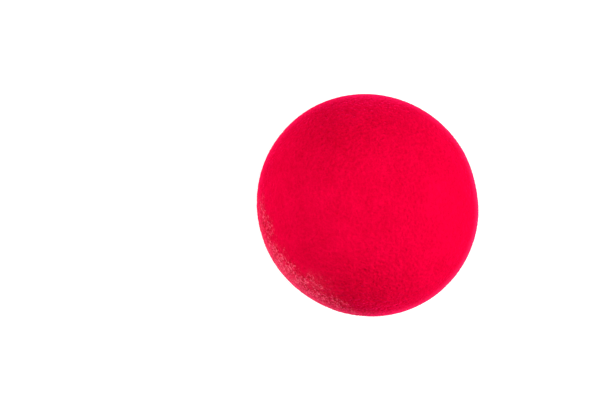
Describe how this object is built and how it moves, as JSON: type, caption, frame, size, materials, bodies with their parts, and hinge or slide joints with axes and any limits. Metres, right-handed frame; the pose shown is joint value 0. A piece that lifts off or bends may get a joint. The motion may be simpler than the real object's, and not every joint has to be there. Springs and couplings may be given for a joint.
{
  "type": "clown nose",
  "caption": "Round clown nose of soft foam, with a round pocket in its flat back that the wearer's nose goes into.",
  "frame": {"origin": "middle of the pocket's mouth, in the plane of the flat back that the nose stands on", "axes": "+Z from the flat back to the front of the nose; +X to the right and +Y up where the nose is seen from the front, as in the picture"},
  "size_m": [0.0599, 0.0602, 0.0557],
  "materials": {
    "foam_red": "soft open-cell polyurethane foam, dyed crimson red right through, matte, with fine open cells and a rougher, paler scuff on one side"
  },
  "bodies": {
    "root": {"foam_nose": "foam_red"}
  },
  "joints": []
}
